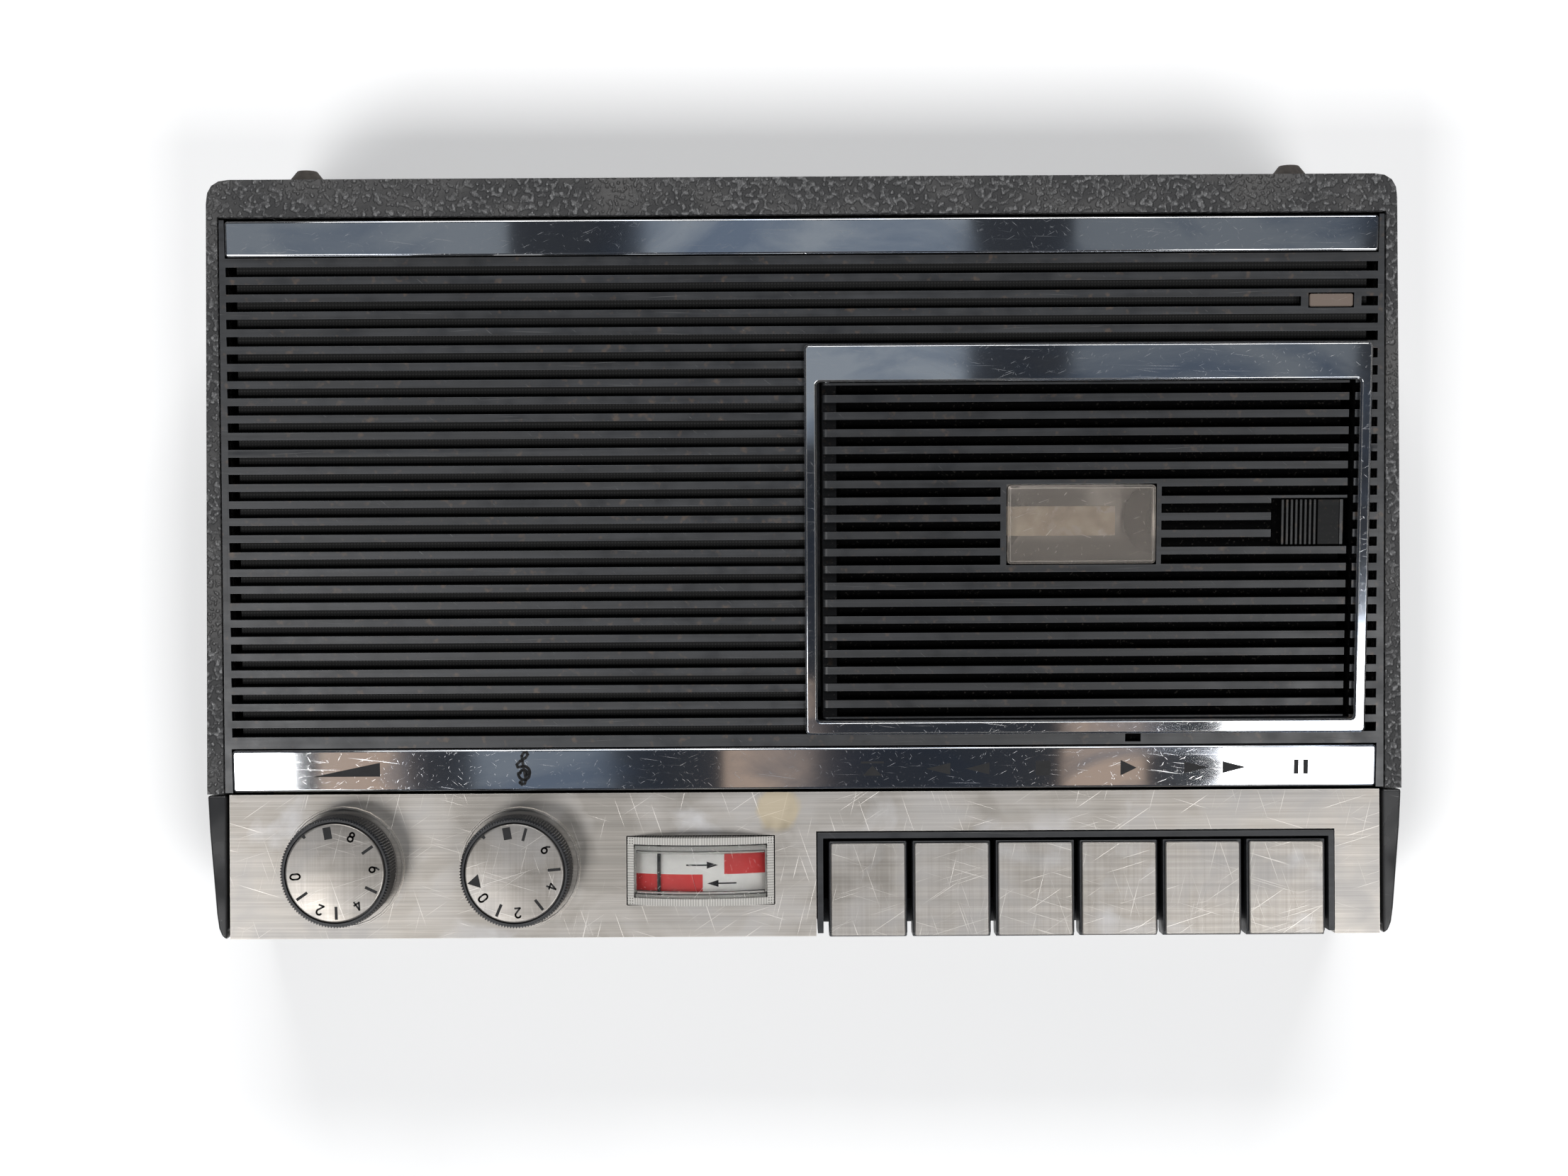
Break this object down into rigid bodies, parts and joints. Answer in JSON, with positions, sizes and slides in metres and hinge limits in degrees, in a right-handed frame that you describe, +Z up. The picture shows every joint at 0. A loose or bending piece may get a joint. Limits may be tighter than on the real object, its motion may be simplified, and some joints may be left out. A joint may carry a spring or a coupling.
{
  "type": "cassette deck",
  "caption": "Portable cassette recorder with sloped slotted grille, chrome-framed cassette lid, flat metal control panel, rotary knobs, edge meter and piano keys.",
  "frame": {"origin": "centre of the bounding box, on the plane the bottom feet rest on", "axes": "+X to the right along the long side, +Y from the keys to the rear edge, +Z up"},
  "size_m": [0.29, 0.1858, 0.0679],
  "materials": {
    "grained_case": "leather grain",
    "gloss_black": "gloss",
    "black_plastic": "semi-gloss",
    "dark_inner": "matt",
    "speaker_metal": "matt",
    "speaker_cloth": "woven",
    "rubber": "matt",
    "chrome": "polished, scratched",
    "amber_lens": "gloss",
    "clear_cover": "clear",
    "spring_brass": "satin",
    "bright_steel": "brushed",
    "satin_metal": "satin, brushed",
    "meter_white": "printed",
    "board": "matt"
  },
  "bodies": {
    "case": {"case_shell": "grained_case", "left_cheek": "gloss_black", "right_cheek": "gloss_black", "front_wall": "black_plastic", "bottom_cover": "black_plastic", "battery_tray": "dark_inner", "foot_front_left": "rubber", "foot_front_right": "rubber", "foot_rear_left": "rubber", "foot_rear_right": "rubber", "rear_foot_left": "rubber", "rear_foot_right": "rubber", "grille_panel": "black_plastic", "rear_trim_bar": "chrome", "front_trim_bar": "chrome", "lid_surround": "chrome", "speaker_cloth": "speaker_cloth", "indicator_lens": "amber_lens", "lid_hinge_pin": "bright_steel", "control_panel": "satin_metal", "volume_pot": "bright_steel", "tone_pot": "bright_steel", "meter_body": "dark_inner", "meter_scale": "meter_white", "meter_lens": "clear_cover", "key_bezel": "black_plastic", "key_shaft": "bright_steel", "chassis_plate": "bright_steel", "motor": "bright_steel", "drive_belt": "rubber", "speaker": "speaker_metal", "circuit_board": "board"},
    "volume_control": {"volume_knob": "black_plastic", "volume_disc": "satin_metal"},
    "tone_control": {"tone_knob": "black_plastic", "tone_disc": "satin_metal"},
    "needle": {"meter_needle": "gloss_black"},
    "lid": {"cassette_lid": "black_plastic", "lid_window": "clear_cover", "lid_spring": "spring_brass"},
    "latch": {"lid_latch": "black_plastic"},
    "supply_reel": {"supply_spindle": "black_plastic"},
    "takeup_reel": {"takeup_spindle": "black_plastic"},
    "flywheel_unit": {"flywheel": "bright_steel"},
    "pulley": {"motor_pulley": "spring_brass"},
    "carriage": {"head_carriage": "bright_steel"},
    "roller": {"pinch_roller": "rubber"},
    "door": {"battery_door": "black_plastic"},
    "key_unit_eject": {"key_eject": "black_plastic", "key_plate_eject": "satin_metal"},
    "key_unit_rewind": {"key_rewind": "black_plastic", "key_plate_rewind": "satin_metal"},
    "key_unit_stop": {"key_stop": "black_plastic", "key_plate_stop": "satin_metal"},
    "key_unit_start": {"key_start": "black_plastic", "key_plate_start": "satin_metal"},
    "key_unit_forward": {"key_forward": "black_plastic", "key_plate_forward": "satin_metal"},
    "key_unit_pause": {"key_pause": "black_plastic", "key_plate_pause": "satin_metal"}
  },
  "joints": [
    {"name": "volume_turn", "type": "hinge", "parent": "case", "child": "volume_control", "pos_m": [-0.1121, -0.0752, 0.0505], "axis": [0, 0, 1], "range_deg": [-35, 265]},
    {"name": "tone_turn", "type": "hinge", "parent": "case", "child": "tone_control", "pos_m": [-0.0693, -0.0755, 0.0505], "axis": [0, 0, 1], "range_deg": [-68, 232]},
    {"name": "needle_swing", "type": "hinge", "parent": "case", "child": "needle", "pos_m": [-0.0253, -0.0764, 0.0168], "axis": [0, 1, 0], "range_deg": [-10, 43], "stiffness_Nm_per_rad": 0.0006},
    {"name": "lid_hinge", "type": "hinge", "parent": "case", "child": "lid", "pos_m": [0.0059, 0.00068, 0.05498], "axis": [0, -0.9936, -0.1132], "range_deg": [0, 90]},
    {"name": "latch_slide", "type": "slide", "parent": "lid", "child": "latch", "axis": [-1, 0, 0], "range_m": [0, 0.0022], "stiffness_N_per_m": 200, "springref_m": -0.003},
    {"name": "supply_spin", "type": "hinge", "parent": "case", "child": "supply_reel", "pos_m": [0.04555, 0.00909, 0.03903], "axis": [0, -0.1132, 0.9936], "continuous": true},
    {"name": "takeup_spin", "type": "hinge", "parent": "case", "child": "takeup_reel", "pos_m": [0.08805, 0.00909, 0.03903], "axis": [0, -0.1132, 0.9936], "continuous": true},
    {"name": "flywheel_spin", "type": "hinge", "parent": "case", "child": "flywheel_unit", "pos_m": [0.0968, -0.02016, 0.02764], "axis": [0, -0.1132, 0.9936], "continuous": true},
    {"name": "pulley_spin", "type": "hinge", "parent": "case", "child": "pulley", "pos_m": [0.118, 0.02733, 0.03306], "axis": [0, -0.1132, 0.9936], "continuous": true},
    {"name": "carriage_slide", "type": "slide", "parent": "case", "child": "carriage", "axis": [0, 0.9936, 0.1132], "range_m": [0, 0.0035], "stiffness_N_per_m": 8, "springref_m": -0.003},
    {"name": "roller_spin", "type": "hinge", "parent": "carriage", "child": "roller", "pos_m": [0.0968, -0.03188, 0.0404], "axis": [0, -0.1132, 0.9936], "continuous": true},
    {"name": "battery_door_hinge", "type": "hinge", "parent": "case", "child": "door", "pos_m": [-0.068, 0.07755, 0.00425], "axis": [1, 0, 0], "range_deg": [0, 90]},
    {"name": "key_press_eject", "type": "hinge", "parent": "case", "child": "key_unit_eject", "pos_m": [0.01535, -0.0634, 0.0445], "axis": [1, 0, 0], "range_deg": [0, 8], "stiffness_Nm_per_rad": 0.1, "springref_deg": -8.59},
    {"name": "key_press_rewind", "type": "hinge", "parent": "case", "child": "key_unit_rewind", "pos_m": [0.03565, -0.0634, 0.0445], "axis": [1, 0, 0], "range_deg": [0, 8], "stiffness_Nm_per_rad": 0.1, "springref_deg": -8.59},
    {"name": "key_press_stop", "type": "hinge", "parent": "case", "child": "key_unit_stop", "pos_m": [0.05595, -0.0634, 0.0445], "axis": [1, 0, 0], "range_deg": [0, 8], "stiffness_Nm_per_rad": 0.1, "springref_deg": -8.59},
    {"name": "key_press_start", "type": "hinge", "parent": "case", "child": "key_unit_start", "pos_m": [0.07625, -0.0634, 0.0445], "axis": [1, 0, 0], "range_deg": [0, 8], "stiffness_Nm_per_rad": 0.0008, "springref_deg": -57.3},
    {"name": "key_press_forward", "type": "hinge", "parent": "case", "child": "key_unit_forward", "pos_m": [0.09655, -0.0634, 0.0445], "axis": [1, 0, 0], "range_deg": [0, 8], "stiffness_Nm_per_rad": 0.1, "springref_deg": -8.59},
    {"name": "key_press_pause", "type": "hinge", "parent": "case", "child": "key_unit_pause", "pos_m": [0.11685, -0.0634, 0.0445], "axis": [1, 0, 0], "range_deg": [0, 8], "stiffness_Nm_per_rad": 0.1, "springref_deg": -8.59}
  ],
  "couplings": [
    {"joint": "pulley_spin", "follows": "flywheel_spin", "ratio": 6.0571},
    {"joint": "key_press_start", "follows": "carriage_slide", "rad_per_m": 39.89}
  ]
}
